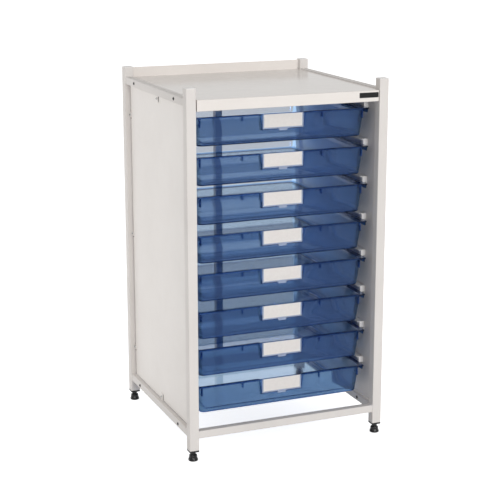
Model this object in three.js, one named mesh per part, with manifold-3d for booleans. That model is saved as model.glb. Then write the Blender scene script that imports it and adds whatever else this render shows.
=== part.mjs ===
// Tray storage unit: a welded square tube frame with a folded top pan, two side panels and sliding trays.
// Millimetres, Z up, front towards -Y, origin on the floor at the middle of the footprint.
import * as THREE from "three";
import { mergeVertices } from "three/addons/utils/BufferGeometryUtils.js";
import Module from "manifold-3d";

// Whole unit, floor to cap tops
const unitWidth = 540;
const unitDepth = 508;
const unitHeight = 945;

// Posts with their end caps
const postSide = 25;
const postWall = 1.5;
const postCorner = 2;
const capHeight = 2;
const capChamfer = 0.8;
const capPlugLength = 12;

// Levelling feet and the inserts that hold them
const footRise = 29;
const insertFlange = 4.5;
const insertPlugLength = 16;
const footRadius = 12.5;
const footSkirt = 4;
const footGripRadius = 10.5;
const footGripBottom = 9.5;
const footGripTop = 16;
const footNeckRadius = 6.7;
const stemRadius = 4;
const stemLength = 20;

// Rails and the back strut
const railSide = 20;
const railWall = 1.5;
const railCorner = 2;
const bottomRailRise = 30;
const topRailDrop = 26;

// Folded top pan
const panStep = 2.7;
const panSheet = 1.2;
const panBend = 1.2;
const fasciaHeight = 28.5;
const fasciaReturn = 12;
const fasciaEndReturn = 18;
const fasciaSetback = 1;
const fasciaSideGap = 2.5;
const panFlangeDepth = 14;
const upstandHeight = 26.5;
const upstandSetback = 12;

// Plain plate at the right end of the fascia
const plateWidth = 53;
const plateHeight = 13;
const plateThickness = 0.7;
const plateDrop = 5;
const plateEndMargin = 1;

// Side panels and their fixing tabs
const panelSheet = 1;
const panelGap = 1.5;
const tabThickness = 1.5;
const tabWidth = 15;
const tabLap = 18;
const tabRows = [0.1, 0.5, 0.9];

// Trays
const trayCount = 8;
const trayHeight = 73;
const trayHeadroom = 21;
const trayFootroom = 27;
const trayRecess = 42;
const traySideClearance = 6;
const trayBackClearance = 0.5;
const trayWall = 2.2;
const trayCorner = 12;
const traySideDraft = 9.5;
const trayEndDraft = 4;
const trayBottomEdge = 3.5;
const floorStep = 1.6;
const floorStepInset = 16;
const rimThickness = 3;
const rimCorner = 5;
const rimSideOverhang = 8.5;
const rimEndOverhang = 7;
const lipDrop = 13;
const lipThickness = 2;
const lipEndGap = 5;

// Ribs under the front rim of a tray
const ribThickness = 2.5;
const ribDrop = 13;
const ribSpacing = 216;
const cornerRibDrop = 23;
const cornerRibInset = 5;

// Label pocket on the front of a tray
const pocketTopWidth = 126;
const pocketBottomWidth = 113;
const pocketHeight = 40;
const pocketSetback = 0.4;
const pocketRecess = 1.2;
const labelWidth = 109;
const labelHeight = 36;
const labelThickness = 0.6;
const labelDrop = 1.5;

// Runners
const runnerSheet = 1.2;
const runnerBend = 0.8;
const runnerHeadroom = 11;
const runnerHold = 4;
const runnerFrontSetback = 80;
const runnerBackSetback = 32;

// Clearances
const slideClearance = 0.3;
const plugClearance = 0.3;
const labelClearance = 0.5;

// Faceting of round shapes
const cornerSteps = 3;
const bendSteps = 3;
const turnSteps = 16;

// Positions that follow from the sizes above
const sideX = unitWidth / 2;
const frontY = -unitDepth / 2;
const postX = sideX - postSide / 2;
const postY = unitDepth / 2 - postSide / 2;
const postInnerX = sideX - postSide;
const postInnerY = unitDepth / 2 - postSide;
const postBottom = footRise;
const postTop = unitHeight - capHeight;
const tubeInside = postSide - 2 * postWall;
const railInnerX = postX - railSide / 2;
const bottomRailZ = postBottom + bottomRailRise + railSide / 2;
const bottomRailTop = bottomRailZ + railSide / 2;
const topRailTop = unitHeight - topRailDrop;
const topRailZ = topRailTop - railSide / 2;
const topRailBottom = topRailTop - railSide;
const panTop = topRailTop - panStep;
const panBottom = panTop - panSheet;
const fasciaHalf = postInnerX - fasciaSideGap;
const fasciaFrontY = frontY + fasciaSetback;
const fasciaBottom = panTop - fasciaHeight;
const backRailZ = panBottom - railSide / 2;
const strutFrontY = postY - railSide / 2;
const panelOuterX = postX - tabThickness;
const panelInnerX = panelOuterX - panelSheet;
const trayFrontY = frontY + trayRecess;
const trayBackY = strutFrontY - trayBackClearance;
const trayMiddleY = (trayFrontY + trayBackY) / 2;
const trayDepth = trayBackY - trayFrontY;
const rimHalf = postInnerX - traySideClearance;
const bodyWidth = 2 * (rimHalf - rimSideOverhang);
const bodyDepth = trayDepth - 2 * rimEndOverhang;
const firstRimTop = fasciaBottom - trayHeadroom;
const lastRimTop = bottomRailTop + trayFootroom + trayHeight;
const trayPitch = (firstRimTop - lastRimTop) / (trayCount - 1);
const pocketFrontY = trayFrontY + pocketSetback;

const wasm = await Module();
wasm.setup();

// A three.js geometry as a closed solid, faces outward.
function solid(geometry) {
  const bare = geometry.clone();
  bare.deleteAttribute("normal");
  bare.deleteAttribute("uv");
  const merged = mergeVertices(bare, 1e-4);
  const corners = merged.index.array;
  const kept = [];
  for (let i = 0; i < corners.length; i += 3) {
    const [a, b, c] = [corners[i], corners[i + 1], corners[i + 2]];
    if (a !== b && b !== c && c !== a) kept.push(a, b, c);
  }
  const vertProperties = new Float32Array(merged.attributes.position.array);
  const triVerts = new Uint32Array(kept);
  const made = new wasm.Manifold(new wasm.Mesh({ numProp: 3, vertProperties, triVerts }));
  if (made.volume() > 0) return made;
  const turned = triVerts.map((_, i) => triVerts[i - (i % 3) + [0, 2, 1][i % 3]]);
  return new wasm.Manifold(new wasm.Mesh({ numProp: 3, vertProperties, triVerts: turned }));
}

// A solid as a three.js geometry.
function geometryOf(body) {
  const mesh = body.getMesh();
  const geometry = new THREE.BufferGeometry();
  geometry.setAttribute("position", new THREE.BufferAttribute(new Float32Array(mesh.vertProperties), 3));
  geometry.setIndex(new THREE.BufferAttribute(new Uint32Array(mesh.triVerts), 1));
  const flat = geometry.toNonIndexed();
  flat.computeVertexNormals();
  return flat;
}

// All the solids of a list joined into one.
function joined(bodies) {
  return bodies.reduce((whole, body) => whole.add(body));
}

// Box between two corners.
function block(low, high) {
  const size = high.map((value, axis) => value - low[axis]);
  const box = new THREE.BoxGeometry(...size);
  box.translate(...high.map((value, axis) => (value + low[axis]) / 2));
  return box;
}

// Rectangle with round corners, centred on the origin.
function roundedRectangle(width, depth, radius) {
  const shape = new THREE.Shape();
  const x = width / 2 - radius;
  const y = depth / 2 - radius;
  shape.absarc(x, y, radius, 0, Math.PI / 2);
  shape.absarc(-x, y, radius, Math.PI / 2, Math.PI);
  shape.absarc(-x, -y, radius, Math.PI, 1.5 * Math.PI);
  shape.absarc(x, -y, radius, 1.5 * Math.PI, 2 * Math.PI);
  return shape;
}

// Straight prism of a shape along Z, from 0 to its length.
function prism(shape, length) {
  return new THREE.ExtrudeGeometry(shape, { depth: length, bevelEnabled: false, curveSegments: cornerSteps });
}

// Round-cornered block through a row of levels, each with a height and an inset of its sides and ends.
function lofted(width, depth, radius, levels) {
  const shape = roundedRectangle(width, depth, radius);
  const steps = levels.length - 1;
  const options = { depth: steps, steps, bevelEnabled: false, curveSegments: cornerSteps };
  const geometry = new THREE.ExtrudeGeometry(shape, options);
  const place = geometry.attributes.position;
  for (let i = 0; i < place.count; i += 1) {
    const level = levels[Math.round(place.getZ(i))];
    const x = place.getX(i) * (1 - (2 * level.sideInset) / width);
    const y = place.getY(i) * (1 - (2 * level.endInset) / depth);
    place.setXYZ(i, x, y, level.z);
  }
  return geometry;
}

// Square tube along Z, centred on its length.
function squareTube(side, wall, corner, length) {
  const section = roundedRectangle(side, side, corner);
  const half = side / 2 - wall;
  const bore = [[-half, -half], [-half, half], [half, half], [half, -half]];
  section.holes.push(new THREE.Path(bore.map(([x, y]) => new THREE.Vector2(x, y))));
  return prism(section, length).translate(0, 0, -length / 2);
}

// Outline of a folded sheet around a middle line of points, bent with the given inside radius.
function foldedShape(points, sheet, insideRadius) {
  const middle = points.map(([x, y]) => new THREE.Vector2(x, y));
  const along = middle.slice(1).map((point, i) => point.clone().sub(middle[i]).normalize());
  const leftOf = (way) => new THREE.Vector2(-way.y, way.x);
  const edge = (offset) => {
    const line = [];
    middle.forEach((point, i) => {
      const before = along[Math.max(i - 1, 0)];
      const after = along[Math.min(i, along.length - 1)];
      const reach = leftOf(before).add(leftOf(after));
      const corner = reach.multiplyScalar(offset / (1 + before.dot(after))).add(point);
      const turn = before.cross(after);
      if (Math.abs(turn) < 1e-6) {
        line.push(corner);
        return;
      }
      const radius = insideRadius + sheet / 2 - Math.sign(turn) * offset;
      const start = corner.clone().addScaledVector(before, -radius);
      const centre = start.clone().addScaledVector(leftOf(before), Math.sign(turn) * radius);
      for (let step = 0; step <= bendSteps; step += 1) {
        const angle = (Math.sign(turn) * Math.PI * step) / (2 * bendSteps);
        line.push(start.clone().rotateAround(centre, angle));
      }
    });
    return line;
  };
  return new THREE.Shape([...edge(-sheet / 2), ...edge(sheet / 2).reverse()]);
}

// Tube laid along X or along Y.
const alongX = (geometry) => geometry.rotateY(Math.PI / 2);
const alongY = (geometry) => geometry.rotateX(-Math.PI / 2);

// Prism of a shape drawn in Y and Z, centred on X.
function acrossX(shape, length) {
  return prism(shape, length).translate(0, 0, -length / 2).rotateY(Math.PI / 2).rotateX(Math.PI / 2);
}

// Prism of a shape drawn in X and Z, from one Y to another.
function acrossY(shape, fromY, toY) {
  return prism(shape, toY - fromY).rotateX(Math.PI / 2).translate(0, toY, 0);
}

const group = new THREE.Group();

// Adds one piece with a material of its own.
function addPiece(name, geometry, look) {
  const piece = new THREE.Mesh(geometry, new THREE.MeshStandardMaterial(look));
  piece.name = name;
  group.add(piece);
}

const coatedSteel = { color: 0xe4dfdb, roughness: 0.45, metalness: 0 };
const whitePlastic = { color: 0xe8e5e1, roughness: 0.4, metalness: 0 };
const blackPlastic = { color: 0x17181a, roughness: 0.35, metalness: 0 };
const bluePlastic = { color: 0x5a78a8, roughness: 0.2, metalness: 0, transparent: true, opacity: 0.6 };
const cardStock = { color: 0xe0dbd7, roughness: 0.8, metalness: 0 };
const darkPlate = { color: 0x1b1b1b, roughness: 0.4, metalness: 0 };

// Posts, end caps, foot inserts and levelling feet, one set in each corner.
const sides = [["left", -1], ["right", 1]];
const ends = [["front", -1], ["back", 1]];

function endCap() {
  const levels = [
    { z: 0, sideInset: 0, endInset: 0 },
    { z: capHeight - capChamfer, sideInset: 0, endInset: 0 },
    { z: capHeight, sideInset: capChamfer, endInset: capChamfer },
  ];
  const head = lofted(postSide, postSide, postCorner, levels);
  const plug = tubeInside / 2 - plugClearance;
  const shank = block([-plug, -plug, -capPlugLength], [plug, plug, capHeight / 2]);
  return solid(head).add(solid(shank));
}

function footInsert() {
  const head = prism(roundedRectangle(postSide, postSide, postCorner), insertFlange);
  const plug = tubeInside / 2 - plugClearance;
  const shank = block([-plug, -plug, insertFlange / 2], [plug, plug, insertFlange + insertPlugLength]);
  const reach = 3 * (insertFlange + insertPlugLength);
  const hole = new THREE.CylinderGeometry(stemRadius + plugClearance, stemRadius + plugClearance, reach, turnSteps);
  return solid(head).add(solid(shank)).subtract(solid(hole.rotateX(Math.PI / 2)));
}

function levellingFoot() {
  const shoulder = footRise - insertFlange - slideClearance;
  const round = footGripRadius - footNeckRadius;
  const profile = [
    [0, 0],
    [footRadius - 0.6, 0],
    [footRadius, 0.8],
    [footRadius, footSkirt],
    [footGripRadius, footGripBottom],
    [footGripRadius, footGripTop - round / 2],
    [footGripRadius - round / 2, footGripTop],
    [footNeckRadius, footGripTop + round / 2],
    [footNeckRadius, shoulder],
    [stemRadius, shoulder],
    [stemRadius, shoulder + stemLength],
    [0, shoulder + stemLength],
  ];
  const turned = new THREE.LatheGeometry(profile.map(([r, z]) => new THREE.Vector2(r, z)), turnSteps);
  return solid(turned.rotateX(Math.PI / 2));
}

const postLength = postTop - postBottom;
const capShape = endCap();
const insertShape = footInsert();
const footShape = levellingFoot();
for (const [endName, endSign] of ends) {
  for (const [sideName, sideSign] of sides) {
    const corner = `${endName}_${sideName}`;
    const x = sideSign * postX;
    const y = endSign * postY;
    const post = squareTube(postSide, postWall, postCorner, postLength);
    addPiece(`post_${corner}`, post.translate(x, y, postBottom + postLength / 2), coatedSteel);
    addPiece(`post_cap_${corner}`, geometryOf(capShape).translate(x, y, postTop), whitePlastic);
    const insertZ = postBottom - insertFlange;
    addPiece(`foot_insert_${corner}`, geometryOf(insertShape).translate(x, y, insertZ), blackPlastic);
    addPiece(`levelling_foot_${corner}`, geometryOf(footShape).translate(x, y, 0), blackPlastic);
  }
}

// Rails welded between the posts, and the upright strut at the back.
for (const [sideName, sideSign] of sides) {
  for (const [level, z] of [["upper", topRailZ], ["lower", bottomRailZ]]) {
    const rail = alongY(squareTube(railSide, railWall, railCorner, 2 * postInnerY));
    addPiece(`${level}_side_rail_${sideName}`, rail.translate(sideSign * postX, 0, z), coatedSteel);
  }
}
for (const [name, y, z] of [
  ["lower_front_rail", -postY, bottomRailZ],
  ["lower_back_rail", postY, bottomRailZ],
  ["upper_back_rail", postY, backRailZ],
]) {
  const rail = alongX(squareTube(railSide, railWall, railCorner, 2 * postInnerX));
  addPiece(name, rail.translate(0, y, z), coatedSteel);
}
const strutTop = backRailZ - railSide / 2;
const strut = squareTube(railSide, railWall, railCorner, strutTop - bottomRailTop);
addPiece("back_strut", strut.translate(0, postY, (strutTop + bottomRailTop) / 2), coatedSteel);

// Top pan: one sheet folded down at the front and up at the back, with flanges against the side rails.
// The ends of the fascia are folded back too.
function topPan() {
  const halfSheet = panSheet / 2;
  const upstandY = postInnerY + upstandSetback;
  const line = [
    [fasciaFrontY + fasciaReturn, fasciaBottom + halfSheet],
    [fasciaFrontY + halfSheet, fasciaBottom + halfSheet],
    [fasciaFrontY + halfSheet, panTop - halfSheet],
    [upstandY, panTop - halfSheet],
    [upstandY, panTop + upstandHeight],
  ];
  const strip = acrossX(foldedShape(line, panSheet, panBend), 2 * fasciaHalf);
  const reachY = postInnerY - panelGap;
  const plate = block([-railInnerX, -reachY, panBottom], [railInnerX, reachY, panTop]);
  const flanges = sides.map(([, sign]) => {
    const edges = [sign * railInnerX, sign * (railInnerX - panSheet)].sort((a, b) => a - b);
    return block([edges[0], -reachY, panTop - panFlangeDepth], [edges[1], reachY, panTop - halfSheet]);
  });
  const ends = sides.map(([, sign]) => {
    const edges = [sign * fasciaHalf, sign * (fasciaHalf - panSheet)].sort((a, b) => a - b);
    const from = [edges[0], fasciaFrontY + halfSheet, fasciaBottom + halfSheet];
    return block(from, [edges[1], fasciaFrontY + fasciaEndReturn, panTop - halfSheet]);
  });
  return joined([strip, plate, ...flanges, ...ends].map(solid));
}
addPiece("top_pan", geometryOf(topPan()), coatedSteel);

const plateEnd = fasciaHalf - plateEndMargin;
const plateTop = panTop - plateDrop;
const plate = block(
  [plateEnd - plateWidth, fasciaFrontY - plateThickness, plateTop - plateHeight],
  [plateEnd, fasciaFrontY, plateTop],
);
addPiece("fascia_plate", plate, darkPlate);

// Side panel with tabs on its outer face that reach the posts and the rails.
function sidePanel(sign) {
  const plain = (low, high) => block(
    [Math.min(sign * low[0], sign * high[0]), low[1], low[2]],
    [Math.max(sign * low[0], sign * high[0]), high[1], high[2]],
  );
  const reachY = postInnerY - panelGap;
  const low = bottomRailTop + panelGap;
  const high = topRailBottom - panelGap;
  const sheet = plain([panelInnerX, -reachY, low], [panelOuterX, reachY, high]);
  const outer = panelOuterX + tabThickness;
  const inner = panelOuterX - panelSheet / 2;
  const half = tabWidth / 2;
  const tabs = [
    plain([inner, -half, high - tabLap], [outer, half, topRailBottom]),
    plain([inner, -half, bottomRailTop], [outer, half, low + tabLap]),
  ];
  for (const row of tabRows) {
    const z = topRailBottom - row * (topRailBottom - bottomRailTop);
    tabs.push(plain([inner, postInnerY - tabLap / 2, z - half], [outer, postInnerY, z + half]));
    tabs.push(plain([inner, -postInnerY, z - half], [outer, tabLap / 2 - postInnerY, z + half]));
  }
  return joined([sheet, ...tabs].map(solid));
}
for (const [sideName, sideSign] of sides) {
  addPiece(`side_panel_${sideName}`, geometryOf(sidePanel(sideSign)), coatedSteel);
}

// Tray: drafted open box with a rim, side lips, ribs and a label pocket. Its rim top lies at Z = 0.
function pocketPrism(topWidth, bottomWidth, top, bottom, fromY, toY) {
  const outline = [
    [-bottomWidth / 2, bottom],
    [bottomWidth / 2, bottom],
    [topWidth / 2, top],
    [-topWidth / 2, top],
  ];
  return acrossY(new THREE.Shape(outline.map(([x, z]) => new THREE.Vector2(x, z))), fromY, toY);
}

function tray() {
  const levels = (bottom, top, sideTop) => [
    { z: bottom, sideInset: traySideDraft + trayBottomEdge, endInset: trayEndDraft + trayBottomEdge },
    { z: bottom + trayBottomEdge, sideInset: traySideDraft, endInset: trayEndDraft },
    { z: top, sideInset: sideTop, endInset: sideTop },
  ];
  const centred = (geometry) => geometry.translate(0, trayMiddleY, 0);
  const floorTop = trayWall - trayHeight;
  const insideWidth = bodyWidth - 2 * trayWall;
  const insideDepth = bodyDepth - 2 * trayWall;
  const box = centred(lofted(bodyWidth, bodyDepth, trayCorner, levels(-trayHeight, 0, 0)));
  const room = centred(lofted(insideWidth, insideDepth, trayCorner - trayWall, levels(floorTop, 1, 0)));
  const stepSide = traySideDraft + trayBottomEdge + floorStepInset;
  const stepEnd = trayEndDraft + trayBottomEdge + floorStepInset;
  const stepRim = roundedRectangle(bodyWidth - 2 * stepSide, bodyDepth - 2 * stepEnd, trayCorner);
  const hollow = centred(prism(stepRim, 2 * floorStep).translate(0, 0, -trayHeight - floorStep));
  const raised = centred(prism(stepRim, trayWall + floorStep).translate(0, 0, -trayHeight));

  const rim = prism(roundedRectangle(2 * rimHalf, trayDepth, rimCorner), rimThickness);
  const lips = sides.map(([, sign]) => {
    const edges = [sign * rimHalf, sign * (rimHalf - lipThickness)].sort((a, b) => a - b);
    const from = [edges[0], trayFrontY + lipEndGap, -lipDrop];
    return block(from, [edges[1], trayBackY - lipEndGap, -rimThickness / 2]);
  });

  const wallY = trayFrontY + rimEndOverhang + trayEndDraft + trayWall;
  const ribAt = (x, drop) => block(
    [x - ribThickness / 2, trayFrontY + ribThickness / 2, -drop],
    [x + ribThickness / 2, wallY, -rimThickness / 2],
  );
  const cornerRibX = bodyWidth / 2 - cornerRibInset;
  const ribs = sides.flatMap(([, sign]) => [
    ribAt((sign * ribSpacing) / 2, ribDrop),
    ribAt(sign * cornerRibX, cornerRibDrop),
  ]);

  const pocketBack = pocketFrontY + pocketRecess + trayWall;
  const boss = pocketPrism(pocketTopWidth, pocketBottomWidth, 0, -pocketHeight, pocketFrontY, wallY);
  const narrowing = 2 * trayWall;
  const bossRoom = pocketPrism(
    pocketTopWidth - narrowing,
    pocketBottomWidth - narrowing,
    1,
    trayWall - pocketHeight,
    pocketBack,
    wallY + trayWall,
  );
  const recessHalf = labelWidth / 2 + labelClearance;
  const recess = block(
    [-recessHalf, pocketFrontY - 1, -labelDrop - labelHeight - labelClearance],
    [recessHalf, pocketFrontY + pocketRecess, 1],
  );
  const outside = [box, centred(rim.translate(0, 0, -rimThickness)), ...lips, ...ribs, boss];
  const shell = joined(outside.map(solid)).subtract(solid(room)).subtract(solid(bossRoom));
  return shell.add(solid(raised)).subtract(solid(hollow)).subtract(solid(recess));
}

function labelCard() {
  const backY = pocketFrontY + pocketRecess;
  return block(
    [-labelWidth / 2, backY - labelThickness, -labelDrop - labelHeight],
    [labelWidth / 2, backY, -labelDrop],
  );
}

// Runner: channel against the panel, with one flange under the tray's lip and one above its rim.
function runner(sign) {
  const web = panelInnerX - runnerSheet / 2;
  const reach = rimHalf - runnerHold;
  const low = -lipDrop - slideClearance - runnerSheet / 2;
  const high = runnerHeadroom + runnerSheet / 2;
  const line = [
    [sign * reach, low],
    [sign * web, low],
    [sign * web, high],
    [sign * reach, high],
  ];
  const shape = foldedShape(line, runnerSheet, runnerBend);
  return acrossY(shape, frontY + runnerFrontSetback, unitDepth / 2 - runnerBackSetback);
}

const trayShape = tray();
for (let number = 1; number <= trayCount; number += 1) {
  const rimTop = firstRimTop - (number - 1) * trayPitch;
  addPiece(`tray_${number}`, geometryOf(trayShape).translate(0, 0, rimTop), bluePlastic);
  addPiece(`label_card_${number}`, labelCard().translate(0, 0, rimTop), cardStock);
  for (const [sideName, sideSign] of sides) {
    addPiece(`runner_${sideName}_${number}`, runner(sideSign).translate(0, 0, rimTop), coatedSteel);
  }
}

export default group;
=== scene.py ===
import math

import bmesh
import bpy
from mathutils import Matrix, Vector


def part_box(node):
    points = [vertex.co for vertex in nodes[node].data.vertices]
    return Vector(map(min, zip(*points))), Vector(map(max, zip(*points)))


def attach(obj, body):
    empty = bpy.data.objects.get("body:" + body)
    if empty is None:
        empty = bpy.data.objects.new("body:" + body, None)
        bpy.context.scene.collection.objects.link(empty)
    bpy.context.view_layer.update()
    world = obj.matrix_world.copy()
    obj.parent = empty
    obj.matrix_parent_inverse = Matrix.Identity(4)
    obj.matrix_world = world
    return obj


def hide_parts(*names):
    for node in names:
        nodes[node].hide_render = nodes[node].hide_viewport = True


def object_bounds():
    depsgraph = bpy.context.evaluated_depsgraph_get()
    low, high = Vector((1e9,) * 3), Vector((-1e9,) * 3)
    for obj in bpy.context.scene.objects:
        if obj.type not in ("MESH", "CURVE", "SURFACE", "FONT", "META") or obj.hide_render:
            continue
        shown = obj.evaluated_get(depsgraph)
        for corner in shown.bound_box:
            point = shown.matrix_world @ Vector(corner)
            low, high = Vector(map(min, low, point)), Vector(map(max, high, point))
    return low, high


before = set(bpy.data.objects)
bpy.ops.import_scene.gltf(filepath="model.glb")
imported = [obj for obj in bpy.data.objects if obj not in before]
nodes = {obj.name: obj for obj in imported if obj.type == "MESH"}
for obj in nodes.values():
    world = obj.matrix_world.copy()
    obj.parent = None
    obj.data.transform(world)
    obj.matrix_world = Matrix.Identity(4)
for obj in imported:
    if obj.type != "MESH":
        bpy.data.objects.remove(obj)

cad_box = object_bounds()


# Posts, rails and back strut: square steel tube, cut to length, welded and powder coated in warm white.
# The coat softens the edges and has a faint orange-peel skin, with a little drift in tone and gloss.
def new_finish(name):
    finish = bpy.data.materials.new(name)
    finish.use_nodes = True
    shader = finish.node_tree.nodes["Principled BSDF"]
    return finish, finish.node_tree, shader


def noise_of(tree, scale, detail=3.0):
    place = tree.nodes.new("ShaderNodeTexCoord")
    noise = tree.nodes.new("ShaderNodeTexNoise")
    noise.inputs["Scale"].default_value = scale
    noise.inputs["Detail"].default_value = detail
    tree.links.new(place.outputs["Object"], noise.inputs["Vector"])
    return noise.outputs["Fac"]


def drift_colour(tree, shader, scale, darker, lighter):
    """Let the colour wander between two tones, so many times in a metre."""
    ramp = tree.nodes.new("ShaderNodeValToRGB")
    ramp.color_ramp.elements[0].position = 0.3
    ramp.color_ramp.elements[0].color = (*darker, 1.0)
    ramp.color_ramp.elements[1].position = 0.7
    ramp.color_ramp.elements[1].color = (*lighter, 1.0)
    tree.links.new(noise_of(tree, scale), ramp.inputs["Fac"])
    tree.links.new(ramp.outputs["Color"], shader.inputs["Base Color"])


def drift_roughness(tree, shader, scale, lowest, highest):
    spread = tree.nodes.new("ShaderNodeMapRange")
    spread.inputs["From Min"].default_value = 0.3
    spread.inputs["From Max"].default_value = 0.7
    spread.inputs["To Min"].default_value = lowest
    spread.inputs["To Max"].default_value = highest
    tree.links.new(noise_of(tree, scale), spread.inputs["Value"])
    tree.links.new(spread.outputs["Result"], shader.inputs["Roughness"])


def add_skin(tree, shader, scale, strength, height):
    skin = tree.nodes.new("ShaderNodeBump")
    skin.inputs["Strength"].default_value = strength
    skin.inputs["Distance"].default_value = height
    tree.links.new(noise_of(tree, scale), skin.inputs["Height"])
    tree.links.new(skin.outputs["Normal"], shader.inputs["Normal"])


def powder_coat(name, darker, lighter, roughness, gloss, skin):
    """A coat with a slow drift in tone, a quicker one in gloss, and a skin of fine grains."""
    finish, tree, shader = new_finish(name)
    drift_colour(tree, shader, scale=7.0, darker=darker, lighter=lighter)
    drift_roughness(tree, shader, scale=35.0, lowest=roughness[0], highest=roughness[1])
    add_skin(tree, shader, scale=650.0, strength=skin, height=0.0004)
    shader.inputs["Specular IOR Level"].default_value = gloss
    return finish


def dress(node_names, finish):
    for node_name in node_names:
        for material_slot in nodes[node_name].material_slots:
            material_slot.material = finish


matt_roughness = (0.38, 0.5)
tube_coat = powder_coat(
    "warm_white_tube_coat",
    darker=(0.715, 0.679, 0.65),
    lighter=(0.748, 0.712, 0.683),
    roughness=matt_roughness,
    gloss=0.05,
    skin=0.12,
)
sides = ("left", "right")
corners = [f"{end}_{side}" for end in ("front", "back") for side in sides]
posts = [f"post_{corner}" for corner in corners]
side_rails = [f"{level}_side_rail_{side}" for level in ("upper", "lower") for side in sides]
cross_rails = ["lower_front_rail", "lower_back_rail", "upper_back_rail"]
dress([*posts, *side_rails, *cross_rails, "back_strut"], tube_coat)


# Weld beads: a thin fillet of weld runs round each rail end where it meets a post, coated with the tube.
# One bead is a small round section swept round the tube's square, and it is repeated at every end.
def size_tree(name, size_names):
    """An empty tree that takes points and the named sizes."""
    tree = bpy.data.node_groups.new(name, "GeometryNodeTree")
    tree.interface.new_socket("Geometry", in_out="INPUT", socket_type="NodeSocketGeometry")
    for size_name in size_names:
        tree.interface.new_socket(size_name, in_out="INPUT", socket_type="NodeSocketFloat")
    tree.interface.new_socket("Geometry", in_out="OUTPUT", socket_type="NodeSocketGeometry")
    return tree, tree.nodes.new("NodeGroupInput")


def finish_repeat(tree, sizes_in, shape, finish):
    """Set the shape on every point, turned by the point's own angles, and coat it."""
    turn = tree.nodes.new("GeometryNodeInputNamedAttribute")
    turn.data_type = "FLOAT_VECTOR"
    turn.inputs["Name"].default_value = "turn"
    copies = tree.nodes.new("GeometryNodeInstanceOnPoints")
    real = tree.nodes.new("GeometryNodeRealizeInstances")
    coat = tree.nodes.new("GeometryNodeSetMaterial")
    coat.inputs["Material"].default_value = finish
    out = tree.nodes.new("NodeGroupOutput")
    tree.links.new(sizes_in.outputs["Geometry"], copies.inputs["Points"])
    tree.links.new(shape, copies.inputs["Instance"])
    tree.links.new(turn.outputs["Attribute"], copies.inputs["Rotation"])
    tree.links.new(copies.outputs["Instances"], real.inputs["Geometry"])
    tree.links.new(real.outputs["Geometry"], coat.inputs["Geometry"])
    tree.links.new(coat.outputs["Geometry"], out.inputs["Geometry"])


def repeat_piece(piece_name, tree, sizes, places, turns, body):
    """One piece made of equal small parts, each at its place and turn."""
    points = bpy.data.meshes.new(piece_name + "_points")
    points.from_pydata(places, [], [])
    turn = points.attributes.new("turn", "FLOAT_VECTOR", "POINT")
    turn.data.foreach_set("vector", [angle for one in turns for angle in one])
    carrier = bpy.data.objects.new(piece_name + "_points", points)
    bpy.context.scene.collection.objects.link(carrier)
    modifier = carrier.modifiers.new("repeat", "NODES")
    modifier.node_group = tree
    for socket in tree.interface.items_tree:
        if socket.in_out == "INPUT" and socket.name in sizes:
            modifier[socket.identifier] = sizes[socket.name]
    bpy.context.view_layer.update()
    evaluated = carrier.evaluated_get(bpy.context.evaluated_depsgraph_get())
    mesh = bpy.data.meshes.new_from_object(evaluated)
    carrier.modifiers.clear()
    bpy.data.objects.remove(carrier)
    piece = bpy.data.objects.new(piece_name, mesh)
    bpy.context.scene.collection.objects.link(piece)
    mesh.shade_smooth()
    mesh.set_sharp_from_angle(angle=math.radians(35))
    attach(piece, body)


bead_run, bead_sizes = size_tree("weld_bead_run", ["Tube Side", "Tube Corner", "Bead Radius"])
square = bead_run.nodes.new("GeometryNodeCurvePrimitiveQuadrilateral")
rounding = bead_run.nodes.new("GeometryNodeFilletCurve")
rounding.mode = "POLY"
rounding.inputs["Count"].default_value = 3
bead_section = bead_run.nodes.new("GeometryNodeCurvePrimitiveCircle")
bead_section.inputs["Resolution"].default_value = 8
bead_sweep = bead_run.nodes.new("GeometryNodeCurveToMesh")
bead_run.links.new(bead_sizes.outputs["Tube Side"], square.inputs["Width"])
bead_run.links.new(bead_sizes.outputs["Tube Side"], square.inputs["Height"])
bead_run.links.new(square.outputs["Curve"], rounding.inputs["Curve"])
bead_run.links.new(bead_sizes.outputs["Tube Corner"], rounding.inputs["Radius"])
bead_run.links.new(bead_sizes.outputs["Bead Radius"], bead_section.inputs["Radius"])
bead_run.links.new(rounding.outputs["Curve"], bead_sweep.inputs["Curve"])
bead_run.links.new(bead_section.outputs["Curve"], bead_sweep.inputs["Profile Curve"])
finish_repeat(bead_run, bead_sizes, bead_sweep.outputs["Mesh"], tube_coat)

quarter_turn = math.pi / 2
bead_places = []
bead_turns = []
for rail in side_rails:
    low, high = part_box(rail)
    middle = (low + high) / 2
    bead_places += [(middle.x, low.y, middle.z), (middle.x, high.y, middle.z)]
    bead_turns += [(quarter_turn, 0, 0)] * 2
for rail in cross_rails:
    low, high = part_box(rail)
    middle = (low + high) / 2
    bead_places += [(low.x, middle.y, middle.z), (high.x, middle.y, middle.z)]
    bead_turns += [(0, quarter_turn, 0)] * 2
rail_low, rail_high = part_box("lower_front_rail")
rail_side = rail_high.z - rail_low.z
bead_dimensions = {"Tube Side": rail_side, "Tube Corner": 0.002, "Bead Radius": 0.0011}
repeat_piece("weld_beads", bead_run, bead_dimensions, bead_places, bead_turns, "frame")


# End caps: white moulded plastic plugs pressed into the open tops of the posts.
# The skin is a fine moulded matt, a touch cooler than the coat on the tube.
cap_plastic, cap_tree, cap_shader = new_finish("white_cap_plastic")
drift_colour(cap_tree, cap_shader, scale=30.0, darker=(0.77, 0.745, 0.72), lighter=(0.80, 0.775, 0.75))
drift_roughness(cap_tree, cap_shader, scale=80.0, lowest=0.34, highest=0.46)
add_skin(cap_tree, cap_shader, scale=1500.0, strength=0.1, height=0.0002)
dress([f"post_cap_{corner}" for corner in corners], cap_plastic)


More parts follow.
